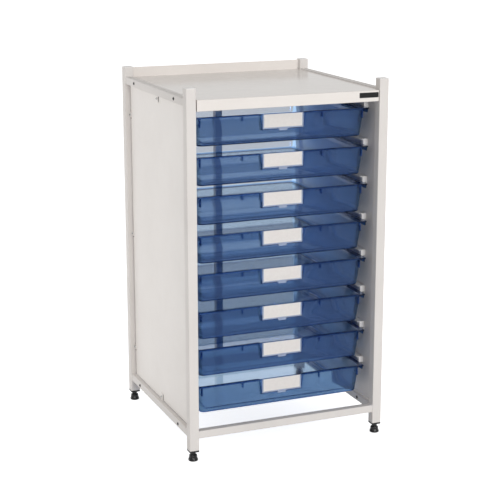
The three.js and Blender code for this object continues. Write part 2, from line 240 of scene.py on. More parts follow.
# Foot inserts and levelling feet: black moulded nylon. The square insert closes the tube and takes the
# thread; the turned foot has a wide base, a fluted grip for the fingers and a neck under the insert.
insert_plastic, insert_tree, insert_shader = new_finish("black_insert_plastic")
drift_colour(
    insert_tree, insert_shader, scale=60.0, darker=(0.010, 0.010, 0.011), lighter=(0.016, 0.016, 0.017))
drift_roughness(insert_tree, insert_shader, scale=120.0, lowest=0.3, highest=0.42)
add_skin(insert_tree, insert_shader, scale=1800.0, strength=0.12, height=0.0002)
insert_shader.inputs["Specular IOR Level"].default_value = 0.25
dress([f"foot_insert_{corner}" for corner in corners], insert_plastic)

foot_plastic, foot_tree, foot_shader = new_finish("black_foot_plastic")
drift_colour(
    foot_tree, foot_shader, scale=60.0, darker=(0.008, 0.008, 0.009), lighter=(0.014, 0.014, 0.015))
drift_roughness(foot_tree, foot_shader, scale=120.0, lowest=0.16, highest=0.26)
add_skin(foot_tree, foot_shader, scale=1400.0, strength=0.08, height=0.0002)
foot_shader.inputs["Specular IOR Level"].default_value = 0.25


def link_piece(name, mesh, body, finish):
    piece = bpy.data.objects.new(name, mesh)
    bpy.context.scene.collection.objects.link(piece)
    mesh.materials.clear()
    mesh.materials.append(finish)
    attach(piece, body)
    return piece


def turned_mesh(name, profile, steps, flutes, flute_depth, fluted_rows):
    """A solid turned from its profile, with flutes cut into some rows."""
    shape = bmesh.new()
    rings = []
    for row, (radius, height) in enumerate(profile):
        if radius == 0:
            rings.append([shape.verts.new((0, 0, height))])
            continue
        depth = flute_depth if row in fluted_rows else 0.0
        ring = []
        for step in range(steps):
            angle = 2 * math.pi * step / steps
            reach = radius - depth * (0.5 - 0.5 * math.cos(flutes * angle))
            ring.append(shape.verts.new((reach * math.cos(angle), reach * math.sin(angle), height)))
        rings.append(ring)
    for lower, upper in zip(rings, rings[1:]):
        for step in range(steps):
            after = (step + 1) % steps
            if len(lower) == 1:
                shape.faces.new((lower[0], upper[after], upper[step]))
            elif len(upper) == 1:
                shape.faces.new((lower[step], lower[after], upper[0]))
            else:
                shape.faces.new((lower[step], lower[after], upper[after], upper[step]))
    bmesh.ops.recalc_face_normals(shape, faces=shape.faces)
    mesh = bpy.data.meshes.new(name)
    shape.to_mesh(mesh)
    shape.free()
    mesh.shade_smooth()
    mesh.set_sharp_from_angle(angle=math.radians(40))
    return mesh


neck_gap = 0.0003
for corner in corners:
    node_name = f"levelling_foot_{corner}"
    low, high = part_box(node_name)
    foot_radius = (high.x - low.x) / 2
    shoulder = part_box(f"foot_insert_{corner}")[0].z - neck_gap
    # Radius and height of each turn, from the base up: base, fluted grip, neck and threaded stem.
    foot_profile = [
        (0, 0.0),
        (foot_radius - 0.0012, 0.0),
        (foot_radius - 0.0003, 0.0004),
        (foot_radius, 0.0012),
        (foot_radius, 0.0036),
        (foot_radius - 0.0004, 0.0044),
        (foot_radius - 0.0012, 0.0068),
        (0.0107, 0.0092),
        (0.0104, 0.0105),
        (0.0105, 0.0128),
        (0.0105, 0.0140),
        (0.0100, 0.0152),
        (0.0090, 0.0160),
        (0.0076, 0.0168),
        (0.0067, 0.0178),
        (0.0067, shoulder),
        (0.0040, shoulder),
        (0.0040, high.z - 0.0008),
        (0.0033, high.z),
        (0, high.z),
    ]
    foot_mesh = turned_mesh(
        node_name + "_turned",
        foot_profile,
        steps=72,
        flutes=12,
        flute_depth=0.0007,
        fluted_rows=range(6, 12),
    )
    middle = (low + high) / 2
    foot_mesh.transform(Matrix.Translation((middle.x, middle.y, 0)))
    foot = link_piece(node_name + "_turned", foot_mesh, f"foot_{corner}", foot_plastic)
    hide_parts(node_name)


# Top pan: one steel sheet folded down into the fascia and up into the rear upstand, powder coated.
# It lies between the upper side rails. Its coat is smoother and a little lighter than the tube's, so the
# flat top mirrors the upstand softly.
pan_coat = powder_coat(
    "warm_white_pan_coat",
    darker=(0.79, 0.744, 0.705),
    lighter=(0.825, 0.78, 0.741),
    roughness=(0.12, 0.17),
    gloss=0.06,
    skin=0.001,
)
dress(["top_pan"], pan_coat)


# Side panels: thin coated sheet set in the tube frame, held by small tabs that lap onto the outer face.
# Each tab is held by a zinc dome rivet with a dark core, and a dark strip beside it is a painted shadow.
panel_coat = powder_coat(
    "warm_white_panel_coat",
    darker=(0.76, 0.72, 0.685),
    lighter=(0.79, 0.75, 0.715),
    roughness=matt_roughness,
    gloss=0.5,
    skin=0.12,
)
dress([f"side_panel_{side}" for side in sides], panel_coat)


def round_head(tree, sizes_in, steps, socket_steps=0):
    """A domed head about its point, with a socket of so many sides sunk in its top if any are given."""
    barrel = tree.nodes.new("GeometryNodeMeshCylinder")
    barrel.inputs["Vertices"].default_value = steps
    tree.links.new(sizes_in.outputs["Head Radius"], barrel.inputs["Radius"])
    tree.links.new(sizes_in.outputs["Head Height"], barrel.inputs["Depth"])
    dome = tree.nodes.new("GeometryNodeMeshUVSphere")
    dome.inputs["Segments"].default_value = steps
    dome.inputs["Rings"].default_value = steps
    tree.links.new(sizes_in.outputs["Dome Radius"], dome.inputs["Radius"])
    half = tree.nodes.new("ShaderNodeMath")
    half.operation = "MULTIPLY_ADD"
    half.inputs[1].default_value = 0.5
    tree.links.new(sizes_in.outputs["Head Height"], half.inputs[0])
    drop = tree.nodes.new("ShaderNodeMath")
    drop.operation = "MULTIPLY"
    drop.inputs[1].default_value = -1.0
    tree.links.new(sizes_in.outputs["Dome Radius"], drop.inputs[0])
    tree.links.new(drop.outputs["Value"], half.inputs[2])
    lift = tree.nodes.new("ShaderNodeCombineXYZ")
    tree.links.new(half.outputs["Value"], lift.inputs["Z"])
    lowered = tree.nodes.new("GeometryNodeTransform")
    tree.links.new(dome.outputs["Mesh"], lowered.inputs["Geometry"])
    tree.links.new(lift.outputs["Vector"], lowered.inputs["Translation"])
    crown = tree.nodes.new("GeometryNodeMeshBoolean")
    crown.operation = "INTERSECT"
    crown.solver = "EXACT"
    tree.links.new(barrel.outputs["Mesh"], crown.inputs["Mesh 2"])
    tree.links.new(lowered.outputs["Geometry"], crown.inputs["Mesh 2"])
    if not socket_steps:
        return crown.outputs["Mesh"]
    socket = tree.nodes.new("GeometryNodeMeshCylinder")
    socket.inputs["Vertices"].default_value = socket_steps
    tree.links.new(sizes_in.outputs["Socket Radius"], socket.inputs["Radius"])
    tree.links.new(sizes_in.outputs["Head Height"], socket.inputs["Depth"])
    raised = tree.nodes.new("GeometryNodeTransform")
    tree.links.new(socket.outputs["Mesh"], raised.inputs["Geometry"])
    up = tree.nodes.new("ShaderNodeCombineXYZ")
    tree.links.new(sizes_in.outputs["Socket Lift"], up.inputs["Z"])
    tree.links.new(up.outputs["Vector"], raised.inputs["Translation"])
    driven = tree.nodes.new("GeometryNodeMeshBoolean")
    driven.operation = "DIFFERENCE"
    driven.solver = "EXACT"
    tree.links.new(crown.outputs["Mesh"], driven.inputs["Mesh 1"])
    tree.links.new(raised.outputs["Geometry"], driven.inputs["Mesh 2"])
    return driven.outputs["Mesh"]


rivet_metal, rivet_tree, rivet_shader = new_finish("zinc_rivet")
drift_colour(rivet_tree, rivet_shader, scale=300.0, darker=(0.42, 0.42, 0.41), lighter=(0.55, 0.55, 0.54))
drift_roughness(rivet_tree, rivet_shader, scale=400.0, lowest=0.3, highest=0.5)
rivet_shader.inputs["Metallic"].default_value = 0.7
# Painted shade: a near-black finish for the hollow of each rivet's mandrel hole and for the shadow beside
# each tab.
painted_shade_finish, core_tree, core_shader = new_finish("painted_shade_dark")
drift_colour(
    core_tree, core_shader, scale=400.0, darker=(0.020, 0.019, 0.018), lighter=(0.045, 0.043, 0.041))
drift_roughness(core_tree, core_shader, scale=500.0, lowest=0.4, highest=0.6)
head_names = ["Head Radius", "Head Height", "Dome Radius"]
rivet_run, rivet_sizes = size_tree("dome_rivet_run", head_names)
finish_repeat(rivet_run, rivet_sizes, round_head(rivet_run, rivet_sizes, steps=24), rivet_metal)
core_run, core_sizes = size_tree("rivet_core_run", head_names)
finish_repeat(core_run, core_sizes, round_head(core_run, core_sizes, steps=16), painted_shade_finish)


def bar_shape(tree, sizes_in):
    """A straight bar with round long edges, from its point along its own Z."""
    outline = tree.nodes.new("GeometryNodeCurvePrimitiveQuadrilateral")
    corner = tree.nodes.new("GeometryNodeFilletCurve")
    corner.mode = "POLY"
    corner.inputs["Count"].default_value = 4
    reach = tree.nodes.new("ShaderNodeCombineXYZ")
    line = tree.nodes.new("GeometryNodeCurvePrimitiveLine")
    sweep = tree.nodes.new("GeometryNodeCurveToMesh")
    sweep.inputs["Fill Caps"].default_value = True
    tree.links.new(sizes_in.outputs["Width"], outline.inputs["Width"])
    tree.links.new(sizes_in.outputs["Height"], outline.inputs["Height"])
    tree.links.new(sizes_in.outputs["Corner"], corner.inputs["Radius"])
    tree.links.new(sizes_in.outputs["Length"], reach.inputs["Z"])
    tree.links.new(outline.outputs["Curve"], corner.inputs["Curve"])
    tree.links.new(reach.outputs["Vector"], line.inputs["End"])
    tree.links.new(line.outputs["Curve"], sweep.inputs["Curve"])
    tree.links.new(corner.outputs["Curve"], sweep.inputs["Profile Curve"])
    return sweep.outputs["Mesh"]


bar_names = ["Width", "Height", "Length", "Corner"]
# Painted shadows: thin near-black bars laid flat on the sheet beside the tabs, where each tab's shadow
# falls.
painted_shadow_run, painted_shadow_sizes = size_tree("tab_painted_shadow_run", bar_names)
finish_repeat(painted_shadow_run, painted_shadow_sizes, bar_shape(painted_shadow_run, painted_shadow_sizes), painted_shade_finish)

# The middle of a head, and of the core in it, stands out of the face by these shares of the head's height.
head_stand = 0.4
core_stand = 0.85
rivet_height = 0.0030
rivet_from_edge = 0.0045
middle_rivet_from_edge = 0.010
painted_shadow_from_tab = 0.0095
painted_shadow_sink = 0.0004
tab_proud = 0.0015
tab_rows = (0.1, 0.5, 0.9)
rivet_places = []
core_places = []
upright_painted_shadows = []
level_painted_shadows = []
rivet_turns = []
for side, sign in zip(sides, (-1, 1)):
    low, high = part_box(f"side_panel_{side}")
    face_x = high.x if sign > 0 else low.x
    sheet_x = face_x - sign * (tab_proud + painted_shadow_sink)
    spots = [(0.0, high.z - middle_rivet_from_edge), (0.0, low.z + middle_rivet_from_edge)]
    upright_painted_shadows += [(sheet_x, -painted_shadow_from_tab, z) for _, z in spots]
    for row in tab_rows:
        z = high.z - row * (high.z - low.z)
        spots += [(high.y - rivet_from_edge, z), (low.y + rivet_from_edge, z)]
    level_painted_shadows += [(sheet_x, y, z - painted_shadow_from_tab) for y, z in spots[2:]]
    rivet_places += [(face_x + sign * rivet_height * head_stand, y, z) for y, z in spots]
    core_places += [(face_x + sign * rivet_height * core_stand, y, z) for y, z in spots]
    rivet_turns += [(0, sign * quarter_turn, 0)] * len(spots)
rivet_dimensions = {"Head Radius": 0.0036, "Head Height": rivet_height, "Dome Radius": 0.0046}
repeat_piece("tab_rivets", rivet_run, rivet_dimensions, rivet_places, rivet_turns, "frame")
# The cores are dark discs on the rivets' crowns, painted shade for their mandrel holes.
core_dimensions = {"Head Radius": 0.0014, "Head Height": 0.0012, "Dome Radius": 0.0024}
repeat_piece(
    "tab_rivet_cores", core_run, core_dimensions, core_places, rivet_turns, "frame")
# Each painted shadow stands upright in front of a middle tab, and lies level under a tab at the ends.
painted_shadow_kinds = {
    "upright": (upright_painted_shadows, 0.016, 0.003),
    "level": (level_painted_shadows, 0.002, 0.008),
}
for kind, (places, tall, wide) in painted_shadow_kinds.items():
    painted_shadow_dimensions = {"Width": tall, "Height": wide, "Length": 0.0006, "Corner": 0.0009}
    turns = [(0, math.copysign(quarter_turn, place[0]), 0) for place in places]
    repeat_piece(f"tab_{kind}_painted_shadow_strips", painted_shadow_run, painted_shadow_dimensions, places, turns, "frame")


# Rail screws: black steel socket screws with domed heads, two along each side rail.
# The upper ones hold the pan and show on the rail's outer face, the lower ones show on both its faces.
screw_steel, screw_tree, screw_shader = new_finish("black_screw_steel")
drift_colour(screw_tree, screw_shader, scale=90.0, darker=(0.008, 0.008, 0.008), lighter=(0.02, 0.02, 0.02))
drift_roughness(screw_tree, screw_shader, scale=200.0, lowest=0.3, highest=0.45)
screw_names = ["Head Radius", "Head Height", "Dome Radius", "Socket Radius", "Socket Lift"]
screw_run, screw_sizes = size_tree("socket_screw_run", screw_names)
screw_head = round_head(screw_run, screw_sizes, steps=32, socket_steps=6)
finish_repeat(screw_run, screw_sizes, screw_head, screw_steel)

screw_height = 0.0028
screw_from_middle = 0.157
screw_places = []
screw_turns = []
for rail in side_rails:
    low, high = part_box(rail)
    middle = (low + high) / 2
    faces = [(low.x, -1), (high.x, 1)]
    if rail.startswith("upper"):
        faces = [(low.x, -1)] if middle.x < 0 else [(high.x, 1)]
    for face_x, sign in faces:
        for y in (-screw_from_middle, screw_from_middle):
            screw_places.append((face_x + sign * screw_height * head_stand, y, middle.z))
            screw_turns.append((0, sign * quarter_turn, 0))
screw_dimensions = {
    "Head Radius": 0.0042,
    "Head Height": screw_height,
    "Dome Radius": 0.0058,
    "Socket Radius": 0.0022,
    "Socket Lift": 0.0012,
}
repeat_piece(
    "rail_screws", screw_run, screw_dimensions, screw_places, screw_turns, "frame")


# Fascia plate: a plain dark plastic plate with rounded corners and a soft edge, stuck to the fascia.
# It is bare and has a fine moulded skin.
plate_finish, plate_tree, plate_shader = new_finish("plain_dark_plate")
drift_colour(
    plate_tree, plate_shader, scale=120.0, darker=(0.006, 0.006, 0.006), lighter=(0.011, 0.011, 0.012))
drift_roughness(plate_tree, plate_shader, scale=300.0, lowest=0.3, highest=0.42)
plate_shader.inputs["Specular IOR Level"].default_value = 0.2
add_skin(plate_tree, plate_shader, scale=2000.0, strength=0.1, height=0.0001)


def rounded_outline(low_x, high_x, low_y, high_y, radius, steps):
    centres = [
        (high_x - radius, high_y - radius, 0.0),
        (low_x + radius, high_y - radius, 0.5),
        (low_x + radius, low_y + radius, 1.0),
        (high_x - radius, low_y + radius, 1.5),
    ]
    outline = []
    for x, y, start in centres:
        for step in range(steps + 1):
            angle = math.pi * (start + 0.5 * step / steps)
            outline.append((x + radius * math.cos(angle), y + radius * math.sin(angle)))
    return outline


def bridged(shape, rings):
    """Close the skin between each ring and the next."""
    for lower, upper in zip(rings, rings[1:]):
        count = len(lower)
        for step in range(count):
            after = (step + 1) % count
            shape.faces.new((lower[step], lower[after], upper[after], upper[step]))


plate_low, plate_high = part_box("fascia_plate")
plate_edge = 0.0003
plate_corner = 0.0016
plate_shape = bmesh.new()
plate_rings = []
for inset, y in ((0.0, plate_high.y), (0.0, plate_low.y + plate_edge), (plate_edge, plate_low.y)):
    outline = rounded_outline(
        plate_low.x + inset,
        plate_high.x - inset,
        plate_low.z + inset,
        plate_high.z - inset,
        radius=plate_corner,
        steps=6,
    )
    plate_rings.append([plate_shape.verts.new((x, y, z)) for x, z in outline])
bridged(plate_shape, plate_rings)
plate_shape.faces.new(plate_rings[0])
plate_shape.faces.new(plate_rings[-1])
bmesh.ops.recalc_face_normals(plate_shape, faces=plate_shape.faces)
plate_mesh = bpy.data.meshes.new("fascia_plate_soft")
plate_shape.to_mesh(plate_mesh)
plate_shape.free()
plate_piece = link_piece("fascia_plate_soft", plate_mesh, "frame", plate_finish)
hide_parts("fascia_plate")


# Runners: folded channels of coated sheet, fixed to the side panels in level pairs.
# A white plastic plug closes the front end of each channel above the tray's lip.
runner_coat, runner_tree, runner_shader = new_finish("white_runner_coat")
drift_colour(
    runner_tree, runner_shader, scale=12.0, darker=(0.78, 0.755, 0.73), lighter=(0.82, 0.80, 0.775))
drift_roughness(runner_tree, runner_shader, scale=60.0, lowest=0.28, highest=0.42)
add_skin(runner_tree, runner_shader, scale=900.0, strength=0.1, height=0.0003)
tray_numbers = range(1, 9)
dress([f"runner_{side}_{number}" for side in sides for number in tray_numbers], runner_coat)

plug_plastic, plug_tree, plug_shader = new_finish("white_plug_plastic")
drift_colour(plug_tree, plug_shader, scale=40.0, darker=(0.80, 0.78, 0.76), lighter=(0.84, 0.82, 0.80))
drift_roughness(plug_tree, plug_shader, scale=90.0, lowest=0.35, highest=0.5)
add_skin(plug_tree, plug_shader, scale=1500.0, strength=0.1, height=0.0002)
plug_run, plug_sizes = size_tree("runner_plug_run", bar_names)
finish_repeat(plug_run, plug_sizes, bar_shape(plug_run, plug_sizes), plug_plastic)
plug_width = 0.0125
plug_tall = 0.0150
plug_depth = 0.010
plug_gap = 0.0010
plug_places = []
for number in tray_numbers:
    for side, sign in zip(sides, (-1, 1)):
        low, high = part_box(f"runner_{side}_{number}")
        web_x = (high.x if sign > 0 else low.x) - sign * plug_gap
        plug_x = web_x - sign * plug_width / 2
        plug_z = high.z - plug_gap - plug_tall / 2
        plug_places.append((plug_x, low.y + plug_depth, plug_z))
plug_dimensions = {"Width": plug_width, "Height": plug_tall, "Length": 0.0112, "Corner": 0.0014}
plug_turns = [(quarter_turn, 0, 0)] * len(plug_places)
repeat_piece("runner_plugs", plug_run, plug_dimensions, plug_places, plug_turns, "frame")


# Trays: injection moulded in clear blue plastic, with drafted walls, round edges, a rim with lips down
# its sides, a raised floor panel and a pocket for a label in the front wall. The runners carry the lips.
tint_places = (0.0, 0.33, 0.66, 1.0)
tint_drift = 0.06


def clear_blue(name, tints):
    """Clear plastic with a surface tint from the piece's own tint value, deeper where it is thick.

    The light of a lamp passes through it, so that what stands behind a tray is lit too.
    """
    finish, tree, shader = new_finish(name)
    tint = tree.nodes.new("ShaderNodeAttribute")
    tint.attribute_name = "tint"
    drift = tree.nodes.new("ShaderNodeMath")
    drift.operation = "MULTIPLY_ADD"
    drift.inputs[1].default_value = tint_drift
    ramp = tree.nodes.new("ShaderNodeValToRGB")
    for place in tint_places[1:-1]:
        ramp.color_ramp.elements.new(place)
    for stop, place, colour in zip(ramp.color_ramp.elements, tint_places, tints):
        stop.position = place
        stop.color = (*colour, 1.0)
    tree.links.new(noise_of(tree, scale=9.0), drift.inputs[0])
    tree.links.new(tint.outputs["Fac"], drift.inputs[2])
    tree.links.new(drift.outputs["Value"], ramp.inputs["Fac"])
    tree.links.new(ramp.outputs["Color"], shader.inputs["Base Color"])
    drift_roughness(tree, shader, scale=25.0, lowest=0.03, highest=0.06)
    add_skin(tree, shader, scale=60.0, strength=0.03, height=0.0006)
    shader.inputs["Transmission Weight"].default_value = 0.98
    shader.inputs["IOR"].default_value = 1.6
    shader.inputs["Specular Tint"].default_value = (0.2, 0.4, 1.0, 1.0)
    depth = tree.nodes.new("ShaderNodeVolumeAbsorption")
    depth.inputs["Color"].default_value = (0.074, 0.478, 0.809, 1.0)
    depth.inputs["Density"].default_value = 230.0
    lamp_ray = tree.nodes.new("ShaderNodeLightPath")
    passed = tree.nodes.new("ShaderNodeBsdfTransparent")
    passed.inputs["Color"].default_value = (0.86, 0.9, 0.95, 1.0)
    either = tree.nodes.new("ShaderNodeMixShader")
    tree.links.new(lamp_ray.outputs["Is Shadow Ray"], either.inputs["Fac"])
    tree.links.new(shader.outputs["BSDF"], either.inputs[1])
    tree.links.new(passed.outputs["BSDF"], either.inputs[2])
    out = tree.nodes["Material Output"]
    tree.links.new(either.outputs["Shader"], out.inputs["Surface"])
    tree.links.new(depth.outputs["Volume"], out.inputs["Volume"])
    return finish


back_tint = (0.58, 0.50, 0.48)
side_tint = (0.68, 0.82, 1.0)
front_tint = (0.55, 0.595, 0.63)
rim_tint = (0.14, 0.26, 0.52)
tray_plastic = clear_blue("clear_blue_tray_plastic", (back_tint, side_tint, front_tint, rim_tint))

rim_side_overhang = 0.0085
rim_end_overhang = 0.007
rim_thickness = 0.003
rim_corner = 0.005
lip_drop = 0.013
lip_thickness = 0.002
lip_end_gap = 0.005
wall = 0.0022
side_draft = 0.0095
end_draft = 0.004
bottom_round = 0.0038
body_corner = 0.012
floor_step = 0.0016
floor_step_inset = 0.016
floor_step_slope = 0.0015
floor_hold = 0.002
edge_round = 0.0008
rim_bead = 0.0005
bead_crown = 0.0001
pocket_top_half = 0.063
pocket_bottom_half = 0.0565
pocket_height = 0.040
pocket_setback = 0.0004
pocket_flank = 0.0012
flank_hold = 0.0009
label_recess = 0.0013
recess_flank = 0.0004
label_play = 0.0005
label_low, label_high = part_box("label_card_1")
tray_low, tray_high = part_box("tray_1")
tray_height = tray_high.z - tray_low.z
label_half = label_high.x + label_play
recess_bottom = label_low.z - tray_high.z - label_play
pocket_front = tray_low.y + pocket_setback


def front_steps(half, pocket_half, label_reach):
    """Points along the front, each with its zone: the label's place, the pocket or the plain wall."""
    edge = pocket_half + pocket_flank
    right = [
        (0.4 * label_reach, "label"),
        (label_reach, "label"),
        (label_reach + recess_flank, "pocket"),
        (pocket_half - flank_hold, "pocket"),
        (pocket_half, "pocket"),
        (edge, "wall"),
        (edge + flank_hold, "wall"),
        (0.65 * edge + 0.35 * half, "wall"),
        (0.3 * edge + 0.7 * half, "wall"),
    ]
    return [*((-x, zone) for x, zone in reversed(right)), (0.0, "label"), *right]


def tray_ring(half, front, back, radius, z, pocket_half, pocket_y, label_y, drop):
    """One closed loop of the tray, from the front left corner round by the right."""
    label_reach = min(label_half, pocket_half - pocket_flank)
    zone_y = {"wall": front, "pocket": pocket_y, "label": label_y}
    loop = []
    for x, zone in front_steps(half - radius, pocket_half, label_reach):
        loop.append((x, zone_y[zone], z))
    arcs = [
        (half - radius, front + radius, -0.5),
        (half - radius, back - radius, 0.0),
        (radius - half, back - radius, 0.5),
        (radius - half, front + radius, 1.0),
    ]
    arc_steps = 6
    for index, (x, y, start) in enumerate(arcs):
        for step in range(arc_steps + 1):
            angle = math.pi * (start + 0.5 * step / arc_steps)
            loop.append((x + radius * math.cos(angle), y + radius * math.sin(angle), z))
        if index in (0, 2):
            side_x = half if index == 0 else -half
            near, far = front + radius, back - radius
            spots = [near + lip_end_gap / 2, near + lip_end_gap, far - lip_end_gap, far - lip_end_gap / 2]
            if index == 2:
                spots.reverse()
            for order, spot in enumerate(spots):
                lowered = z - drop if order in (1, 2) else z
                loop.append((side_x, spot, lowered))
    return loop


def body_half(z):
    return tray_high.x - rim_side_overhang + side_draft * z / tray_height


def body_front(z):
    return tray_low.y + rim_end_overhang - end_draft * z / tray_height


def body_back(z):
    return tray_high.y - rim_end_overhang + end_draft * z / tray_height


def wall_ring(z, inset, has_pocket, has_label):
    """A ring of the drafted wall, inset from its outer face, with or without the pocket and label recess."""
    pocket_share = min(max(-z / pocket_height, 0.0), 1.0)
    pocket_half = pocket_top_half * (1 - pocket_share) + pocket_bottom_half * pocket_share
    front = body_front(z) + inset
    pocket_y = pocket_front if has_pocket else front
    label_y = pocket_front + label_recess if has_label else pocket_y
    if inset > 0 and has_pocket:
        pocket_half -= wall
        pocket_y = pocket_front + label_recess + wall
        label_y = pocket_y
    radius = body_corner - 0.5 * inset
    return tray_ring(body_half(z) - inset, front, body_back(z) - inset, radius, z,
                     pocket_half, pocket_y, label_y, 0.0)


def round_rings(inset, lift):
    """Rings of the rounded lower edge, from the floor up to the wall."""
    rings = []
    steps = 4
    radius = bottom_round - 0.5 * inset
    for step in range(steps + 1):
        angle = 0.5 * math.pi * step / steps
        z = lift - tray_height + radius * (1 - math.sin(0.5 * math.pi - angle))
        rings.append(wall_ring(z, inset + radius * (1 - math.sin(angle)), False, False))
    return rings


def rim_ring(inset, z, drop):
    """A ring of the rim, inset from its outer edge, with the lips of its sides hanging down by the drop."""
    front = tray_low.y + inset
    pocket_y = min(front, pocket_front)
    label_y = pocket_front + label_recess
    return tray_ring(tray_high.x - inset, front, tray_high.y - inset, rim_corner - inset, z,
                     pocket_top_half, pocket_y, label_y, drop)


step_inset = bottom_round + floor_step_inset
rim_under = -rim_thickness
side_drop = lip_drop - rim_thickness
outside = [
    wall_ring(floor_step - tray_height, step_inset + floor_step_slope + floor_hold, False, False),
    wall_ring(floor_step - tray_height, step_inset + floor_step_slope, False, False),
    wall_ring(-tray_height, step_inset, False, False),
    wall_ring(-tray_height, step_inset - floor_hold, False, False),
    wall_ring(-tray_height, bottom_round + floor_hold, False, False),
    *round_rings(0.0, 0.0),
    wall_ring(bottom_round + floor_hold - tray_height, 0.0, False, False),
    wall_ring(-pocket_height - pocket_flank - flank_hold, 0.0, False, False),
    wall_ring(-pocket_height - pocket_flank, 0.0, False, False),
    wall_ring(-pocket_height, 0.0, True, False),
    wall_ring(-pocket_height + flank_hold, 0.0, True, False),
    wall_ring(recess_bottom - recess_flank, 0.0, True, False),
    wall_ring(recess_bottom, 0.0, True, True),
    wall_ring(rim_under, 0.0, True, True),
    rim_ring(lip_thickness, rim_under, 0.0),
    rim_ring(lip_thickness, rim_under - rim_bead, side_drop),
    rim_ring(edge_round, rim_under - rim_bead - bead_crown, side_drop),
    rim_ring(0.0, rim_under, side_drop - edge_round),
    rim_ring(0.0, -edge_round, 0.0),
    rim_ring(edge_round, 0.0, 0.0),
]
inside = [
    wall_ring(0.0, wall - 0.5 * edge_round, True, True),
    wall_ring(-edge_round, wall, True, True),
    wall_ring(wall - pocket_height, wall, True, True),
    wall_ring(wall - pocket_height - pocket_flank, wall, False, False),
    *reversed(round_rings(wall, wall)),
    wall_ring(wall - tray_height, step_inset - floor_hold, False, False),
    wall_ring(wall - tray_height, step_inset, False, False),
    wall_ring(wall + floor_step - tray_height, step_inset + floor_step_slope, False, False),
    wall_ring(wall + floor_step - tray_height, step_inset + floor_step_slope + floor_hold, False, False),
]

# The rings are counted from the raised floor outwards, up the outside, over the rim and down the inside.
tray_shape = bmesh.new()
tint_layer = tray_shape.verts.layers.float.new("tint")
front_reach = tray_low.y + 0.030
back_reach = tray_high.y - 0.016
ring_count = len(outside) + len(inside)
step_rings = (1, 2, ring_count - 3, ring_count - 2)
floor_rings = (0, 3, 4, ring_count - 4, ring_count - 1)
lower_edge_rings = range(5, 10)
rim_rings = range(len(outside) - 6, len(outside))
deep_rings = {*step_rings, *lower_edge_rings, *rim_rings}
sill_rings = range(12, 14)
jamb_rings = range(12, len(outside) - 6)
sill_points = range(4, 15)
jamb_points = (4, 5, 13, 14)


def tint_at(index, order, point):
    """Deepest on the rim, the lower edge and the pocket's edges, then front and floor, sides and back."""
    edge = index in sill_rings and order in sill_points or index in jamb_rings and order in jamb_points
    if index in deep_rings or edge:
        return tint_places[3]
    if index in floor_rings or point[1] < front_reach:
        return tint_places[2]
    return tint_places[1] if point[1] < back_reach else tint_places[0]


tray_loops = []
for index, ring in enumerate([*outside, *inside]):
    loop = []
    for order, point in enumerate(ring):
        corner_point = tray_shape.verts.new(point)
        corner_point[tint_layer] = tint_at(index, order, point)
        loop.append(corner_point)
    tray_loops.append(loop)
bridged(tray_shape, tray_loops)
tray_shape.faces.new(tray_loops[0])
tray_shape.faces.new(tray_loops[-1])
bmesh.ops.recalc_face_normals(tray_shape, faces=tray_shape.faces)
tray_form = bpy.data.meshes.new("tray_form")
tray_shape.to_mesh(tray_form)
tray_shape.free()
tray_form.shade_smooth()
tray_form.set_sharp_from_angle(angle=math.radians(38))

for number in tray_numbers:
    tray_mesh = tray_form.copy()
    tray_mesh.transform(Matrix.Translation((0, 0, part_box(f"tray_{number}")[1].z)))
    piece_name = f"tray_{number}_moulded"
    tray_piece = link_piece(piece_name, tray_mesh, f"tray_body_{number}", tray_plastic)
    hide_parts(f"tray_{number}")


# Tray ribs: thin upright webs of the same plastic that stiffen the front rim from below.
# Two short ones stand beside the pocket and two longer ones at the ends.
rib_run, rib_sizes = size_tree("rim_rib_run", ["Rib Thickness", "Rib Reach", "Rib Depth"])
rib_block = rib_run.nodes.new("GeometryNodeMeshCube")
rib_size = rib_run.nodes.new("ShaderNodeCombineXYZ")
rib_run.links.new(rib_sizes.outputs["Rib Thickness"], rib_size.inputs["X"])
rib_run.links.new(rib_sizes.outputs["Rib Reach"], rib_size.inputs["Y"])
rib_run.links.new(rib_sizes.outputs["Rib Depth"], rib_size.inputs["Z"])
rib_run.links.new(rib_size.outputs["Vector"], rib_block.inputs["Size"])
rib_plastic = clear_blue("clear_blue_rib_plastic", [rim_tint] * 4)
finish_repeat(rib_run, rib_sizes, rib_block.outputs["Mesh"], rib_plastic)

rib_setback = 0.0012
rib_gap = 0.0007
end_rib_x = body_half(0) - 0.011
# Place to the side, depth below the rim's top and sink into the front wall.
rib_kinds = {"middle": (0.108, 0.016, 0.0006), "end": (end_rib_x, 0.025, 0.0030)}
for number in tray_numbers:
    rim_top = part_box(f"tray_{number}")[1].z
    for kind, (rib_x, depth, sink) in rib_kinds.items():
        rib_front = tray_low.y + rib_setback
        rib_back = body_front(-depth / 2) + sink
        rib_top = rim_under - rib_gap
        rib_dimensions = {
            "Rib Thickness": 0.0025,
            "Rib Reach": rib_back - rib_front,
            "Rib Depth": rib_top + depth,
        }
        rib_middle = (rib_back + rib_front) / 2, rim_top + (rib_top - depth) / 2
        repeat_piece(f"tray_{number}_{kind}_ribs", rib_run, rib_dimensions,
                     [(-rib_x, *rib_middle), (rib_x, *rib_middle)], [(0, 0, 0)] * 2,
                     f"tray_body_{number}")


# Label cards: plain white card in each pocket, with a faint fibre in the stock.
# A clear plastic holder clips over each card, with a rim on three sides and a thumb tab below.
card_stock, card_tree, card_shader = new_finish("white_card_stock")
drift_colour(card_tree, card_shader, scale=160.0, darker=(0.705, 0.672, 0.65), lighter=(0.74, 0.71, 0.688))
drift_roughness(card_tree, card_shader, scale=220.0, lowest=0.7, highest=0.85)
add_skin(card_tree, card_shader, scale=1200.0, strength=0.1, height=0.0001)
dress([f"label_card_{number}" for number in tray_numbers], card_stock)

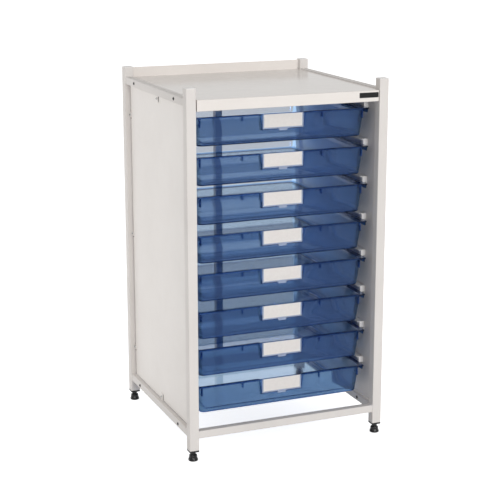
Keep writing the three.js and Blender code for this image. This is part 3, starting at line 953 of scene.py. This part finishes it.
holder_plastic, holder_tree, holder_shader = new_finish("clear_holder_plastic")
drift_colour(holder_tree, holder_shader, scale=60.0, darker=(0.56, 0.64, 0.80), lighter=(0.60, 0.68, 0.84))
drift_roughness(holder_tree, holder_shader, scale=80.0, lowest=0.04, highest=0.10)
add_skin(holder_tree, holder_shader, scale=150.0, strength=0.05, height=0.0002)
holder_shader.inputs["Transmission Weight"].default_value = 0.6
holder_shader.inputs["IOR"].default_value = 1.3

holder_rim = 0.0030
holder_face = 0.0005
holder_play = 0.0002
tab_half = 0.012
tab_drop = 0.0055
tab_taper = 0.0015
for number in tray_numbers:
    low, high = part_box(f"label_card_{number}")
    front = low.y - holder_play
    holder_shape = bmesh.new()
    outline = [
        (low.x - holder_play, high.z),
        (low.x - holder_play, low.z - holder_play),
        (-tab_half, low.z - holder_play),
        (-tab_half + tab_taper, low.z - tab_drop),
        (tab_half - tab_taper, low.z - tab_drop),
        (tab_half, low.z - holder_play),
        (high.x + holder_play, low.z - holder_play),
        (high.x + holder_play, high.z),
        (high.x - holder_rim, high.z),
        (high.x - holder_rim, low.z + holder_rim),
        (low.x + holder_rim, low.z + holder_rim),
        (low.x + holder_rim, high.z),
    ]
    near = [holder_shape.verts.new((x, front - holder_face, z)) for x, z in outline]
    far = [holder_shape.verts.new((x, front, z)) for x, z in outline]
    bridged(holder_shape, [near, far])
    holder_shape.faces.new(near)
    holder_shape.faces.new(far)
    bmesh.ops.recalc_face_normals(holder_shape, faces=holder_shape.faces)
    holder_mesh = bpy.data.meshes.new(f"label_holder_{number}")
    holder_shape.to_mesh(holder_mesh)
    holder_shape.free()
    body_name = f"tray_body_{number}"
    link_piece(f"label_holder_{number}", holder_mesh, body_name, holder_plastic)


# Studio: a wide pale floor that runs back out of sight and is seen as white, under a white sky.
# One soft lamp stands in front and two small ones at the sides. Their level shows a colour about as it is
# written.
floor_finish, floor_tree, floor_shader = new_finish("white_studio_floor")
floor_shader.inputs["Roughness"].default_value = 0.9
drift_colour(floor_tree, floor_shader, scale=0.8, darker=(0.77, 0.77, 0.77), lighter=(0.79, 0.79, 0.79))
floor_glow = 0.77


def seen_ray(tree):
    """One for a ray from the camera, a reflection or a see-through piece, and nought for the rest."""
    ray = tree.nodes.new("ShaderNodeLightPath")
    mirrored = tree.nodes.new("ShaderNodeMath")
    mirrored.operation = "MAXIMUM"
    through = tree.nodes.new("ShaderNodeMath")
    through.operation = "MAXIMUM"
    tree.links.new(ray.outputs["Is Camera Ray"], mirrored.inputs[0])
    tree.links.new(ray.outputs["Is Glossy Ray"], mirrored.inputs[1])
    tree.links.new(mirrored.outputs["Value"], through.inputs[0])
    tree.links.new(ray.outputs["Is Transmission Ray"], through.inputs[1])
    return through.outputs["Value"]


level = floor_tree.nodes.new("ShaderNodeMath")
level.operation = "MULTIPLY"
level.inputs[1].default_value = floor_glow
floor_tree.links.new(seen_ray(floor_tree), level.inputs[0])
floor_tree.links.new(level.outputs["Value"], floor_shader.inputs["Emission Strength"])
floor_shader.inputs["Emission Color"].default_value = (1.0, 1.0, 1.0, 1.0)

floor_reach = 30.0
floor_mesh = bpy.data.meshes.new("studio_floor")
floor_corners = [(-1, -1), (1, -1), (1, 1), (-1, 1)]
floor_points = [(floor_reach * x, floor_reach * y, 0.0) for x, y in floor_corners]
floor_mesh.from_pydata(floor_points, [], [(0, 1, 2, 3)])
floor_mesh.materials.append(floor_finish)
floor = bpy.data.objects.new("studio_floor", floor_mesh)
bpy.context.scene.collection.objects.link(floor)

world = bpy.data.worlds.new("studio_world")
bpy.context.scene.world = world
world.use_nodes = True
sky = world.node_tree.nodes["Background"]
sky.inputs["Color"].default_value = (1.0, 1.0, 1.0, 1.0)
world_level = world.node_tree.nodes.new("ShaderNodeMapRange")
world_level.inputs["To Min"].default_value = 0.55
world_level.inputs["To Max"].default_value = 1.0
world.node_tree.links.new(seen_ray(world.node_tree), world_level.inputs["Value"])
world.node_tree.links.new(world_level.outputs["Result"], sky.inputs["Strength"])


def soft_lamp(name, place, target, size, power):
    lamp_data = bpy.data.lights.new(name, "AREA")
    lamp_data.shape = "RECTANGLE"
    lamp_data.size, lamp_data.size_y = size
    lamp_data.energy = power
    lamp = bpy.data.objects.new(name, lamp_data)
    bpy.context.scene.collection.objects.link(lamp)
    lamp.visible_transmission = False
    lamp.location = place
    lamp.rotation_mode = "QUATERNION"
    lamp.rotation_quaternion = (Vector(target) - Vector(place)).to_track_quat("-Z", "Y")


middle_height = (cad_box[0].z + cad_box[1].z) / 2
aim = (0.0, 0.0, middle_height)
soft_lamp("front_lamp", place=(-0.45, -7.9, 1.9), target=aim, size=(2.0, 2.0), power=276.0)
soft_lamp("left_lamp", place=(-1.75, 1.15, 0.6), target=aim, size=(0.6, 0.6), power=10.0)
soft_lamp("right_lamp", place=(2.7, 0.9, 1.0), target=aim, size=(1.0, 1.0), power=14.0)


# Camera: at the photograph's place, turned to the left of the front and looking down a little.
# The place and lens follow from a fit of the four posts' ends to the photograph.
image_side = 500
focal_pixels = 1370.6
camera_azimuth = math.radians(-22.446)
camera_pitch = math.radians(14.103)
camera_data = bpy.data.cameras.new("photo_camera")
camera_data.sensor_width = 36.0
camera_data.lens = camera_data.sensor_width * focal_pixels / image_side
camera = bpy.data.objects.new("photo_camera", camera_data)
bpy.context.scene.collection.objects.link(camera)
camera.location = (-1.3618, -3.2919, 1.3633)
backward = Vector((
    math.sin(camera_azimuth) * math.cos(camera_pitch),
    -math.cos(camera_azimuth) * math.cos(camera_pitch),
    math.sin(camera_pitch),
))
camera.rotation_mode = "QUATERNION"
camera.rotation_quaternion = (-backward).to_track_quat("-Z", "Y")
bpy.context.scene.camera = camera
bpy.context.scene.view_settings.view_transform = "Standard"
